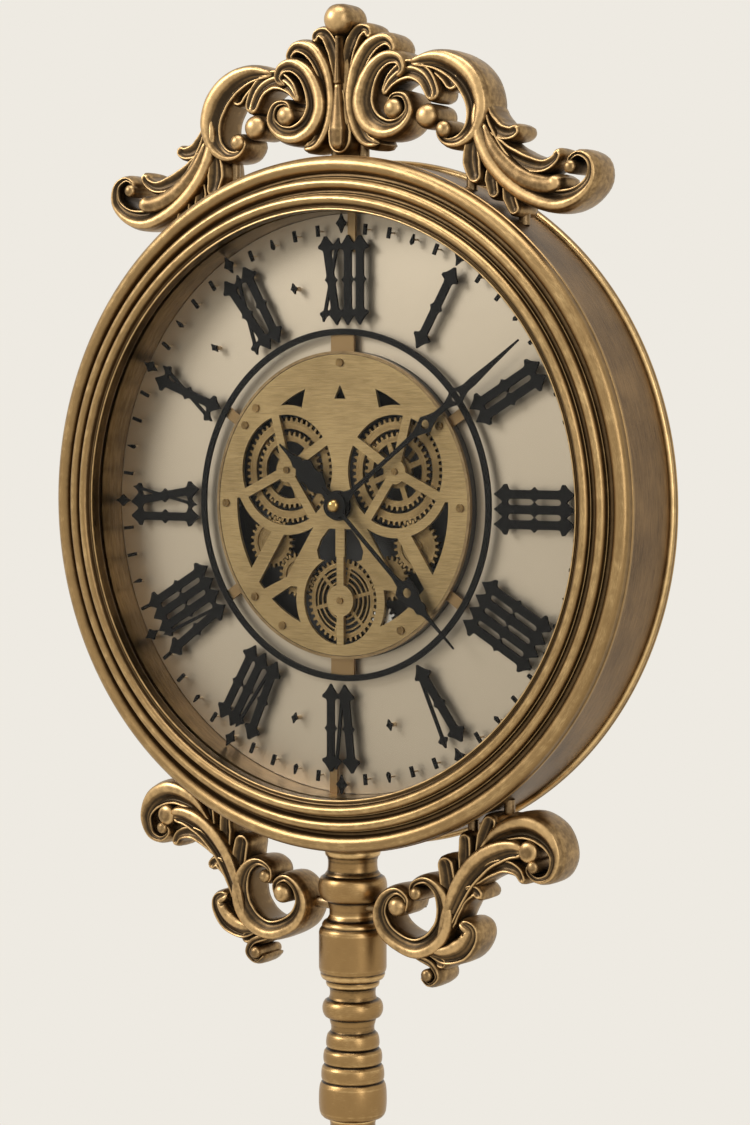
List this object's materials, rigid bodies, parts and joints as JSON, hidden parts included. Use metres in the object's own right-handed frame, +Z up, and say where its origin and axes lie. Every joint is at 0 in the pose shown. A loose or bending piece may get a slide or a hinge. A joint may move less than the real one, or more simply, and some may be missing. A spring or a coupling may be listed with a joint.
{
  "type": "floor clock",
  "caption": "Round skeleton clock with a scroll crown and scroll brackets on a turned column with a round weighted base, antique brass, black roman numerals.",
  "frame": {"origin": "on the floor at the centre of the bounding box's footprint, which is the column's axis", "axes": "+X to the right when the dial is seen from the front, +Y from the dial towards the back cover, +Z up"},
  "size_m": [0.502, 0.3298, 1.6595],
  "materials": {
    "antique_brass": "aged cast brass, dark in the recesses and worn bright on the edges",
    "brushed_case": "dark bronze, brushed around the case",
    "bronze_furniture": "satin bronze",
    "mirror_champagne": "champagne tinted mirror, slightly soft",
    "clear_glass": "clear domed glass",
    "black_rubber": "matt",
    "black_paint": "satin black",
    "bronze_posts": "satin bronze",
    "movement_brass": "brushed brass",
    "movement_dark": "satin dark grey",
    "steel_parts": "bright steel",
    "carrier_board": "matt dark sheet",
    "movement_plastic": "matt black moulding",
    "cell_jacket": "plain jacket",
    "cast_weight": "painted casting"
  },
  "bodies": {
    "stand": {"bezel_ring": "antique_brass", "glass_gasket": "black_rubber", "front_glass": "clear_glass", "case_drum": "brushed_case", "rear_rim": "antique_brass", "back_cover": "black_paint", "door_hinge_pin": "steel_parts", "case_screws": "steel_parts", "dial_wall": "bronze_furniture", "dial_carrier": "carrier_board", "mirror_dial": "mirror_champagne", "hour_numerals": "black_paint", "hour_diamonds": "black_paint", "minute_marks": "black_paint", "chapter_ring": "black_paint", "dial_posts": "bronze_posts", "movement_drum": "movement_dark", "drum_screws": "steel_parts", "plate_trim": "movement_brass", "front_plate": "movement_brass", "plate_screws": "steel_parts", "plate_pillars": "steel_parts", "back_plate": "movement_dark", "lower_bridge": "movement_brass", "wheel_studs": "steel_parts", "drive_motor": "steel_parts", "hand_movement": "movement_plastic", "movement_cell": "cell_jacket", "crown_center": "antique_brass", "crown_left_arm": "antique_brass", "crown_right_arm": "antique_brass", "finial_ball": "antique_brass", "left_bracket": "antique_brass", "right_bracket": "antique_brass", "ornament_pegs": "bronze_posts", "column_collar": "antique_brass", "upper_column": "antique_brass", "middle_column": "antique_brass", "lower_column": "antique_brass", "tie_rod": "steel_parts", "tie_nuts": "steel_parts", "base_plinth": "antique_brass", "base_weight": "cast_weight", "base_pads": "black_rubber"},
    "door": {"access_door": "black_paint"},
    "hour": {"hour_hand": "black_paint"},
    "minute": {"minute_hand": "black_paint"},
    "second": {"second_hand": "black_paint", "center_cap": "movement_brass"},
    "left_ring": {"left_ring_gear": "movement_brass", "left_inner_gear": "movement_brass"},
    "right_ring": {"right_ring_gear": "movement_brass", "right_inner_gear": "movement_brass"},
    "lower_wheel": {"lower_gear": "movement_brass"},
    "left_idler": {"left_idler_gear": "movement_brass"},
    "right_idler": {"right_idler_gear": "movement_brass"},
    "left_link": {"left_link_gear": "movement_brass"},
    "right_link": {"right_link_gear": "movement_brass"},
    "pinion": {"motor_pinion": "steel_parts"},
    "knob": {"setting_knob": "movement_plastic"}
  },
  "joints": [
    {"name": "door_swing", "type": "hinge", "parent": "stand", "child": "door", "pos_m": [-0.079, 0.0323, 1.3], "axis": [0, 0, 1], "range_deg": [0, 110]},
    {"name": "minute_turn", "type": "hinge", "parent": "stand", "child": "minute", "pos_m": [0, -0.0213, 1.3], "axis": [0, 1, 0], "continuous": true},
    {"name": "hour_turn", "type": "hinge", "parent": "stand", "child": "hour", "pos_m": [0, -0.0191, 1.3], "axis": [0, 1, 0], "continuous": true},
    {"name": "second_turn", "type": "hinge", "parent": "stand", "child": "second", "pos_m": [0, -0.0235, 1.3], "axis": [0, 1, 0], "continuous": true},
    {"name": "knob_turn", "type": "hinge", "parent": "stand", "child": "knob", "pos_m": [0.012, 0.0215, 1.312], "axis": [0, 1, 0], "continuous": true},
    {"name": "left_ring_turn", "type": "hinge", "parent": "stand", "child": "left_ring", "pos_m": [-0.0475, -0.011, 1.325], "axis": [0, 1, 0], "continuous": true},
    {"name": "right_ring_turn", "type": "hinge", "parent": "stand", "child": "right_ring", "pos_m": [0.0475, -0.011, 1.325], "axis": [0, 1, 0], "continuous": true},
    {"name": "lower_turn", "type": "hinge", "parent": "stand", "child": "lower_wheel", "pos_m": [0, -0.011, 1.231], "axis": [0, 1, 0], "continuous": true},
    {"name": "left_idler_turn", "type": "hinge", "parent": "stand", "child": "left_idler", "pos_m": [-0.06373, -0.011, 1.27192], "axis": [0, 1, 0], "continuous": true},
    {"name": "right_idler_turn", "type": "hinge", "parent": "stand", "child": "right_idler", "pos_m": [0.06373, -0.011, 1.27192], "axis": [0, 1, 0], "continuous": true},
    {"name": "left_link_turn", "type": "hinge", "parent": "stand", "child": "left_link", "pos_m": [-0.04076, -0.011, 1.24823], "axis": [0, 1, 0], "continuous": true},
    {"name": "right_link_turn", "type": "hinge", "parent": "stand", "child": "right_link", "pos_m": [0.04076, -0.011, 1.24823], "axis": [0, 1, 0], "continuous": true},
    {"name": "pinion_turn", "type": "hinge", "parent": "stand", "child": "pinion", "pos_m": [0.03594, -0.011, 1.21792], "axis": [0, 1, 0], "continuous": true}
  ],
  "couplings": [
    {"joint": "hour_turn", "follows": "minute_turn", "ratio": 0.083333},
    {"joint": "second_turn", "follows": "minute_turn", "ratio": 60},
    {"joint": "knob_turn", "follows": "minute_turn", "ratio": -3},
    {"joint": "left_idler_turn", "follows": "left_ring_turn", "ratio": -2.0833},
    {"joint": "left_link_turn", "follows": "left_ring_turn", "ratio": 2.5},
    {"joint": "lower_turn", "follows": "left_ring_turn", "ratio": -1.2821},
    {"joint": "pinion_turn", "follows": "left_ring_turn", "ratio": 4.1667},
    {"joint": "right_link_turn", "follows": "left_ring_turn", "ratio": 2.5},
    {"joint": "right_idler_turn", "follows": "left_ring_turn", "ratio": -2.0833},
    {"joint": "right_ring_turn", "follows": "left_ring_turn", "ratio": 1}
  ]
}
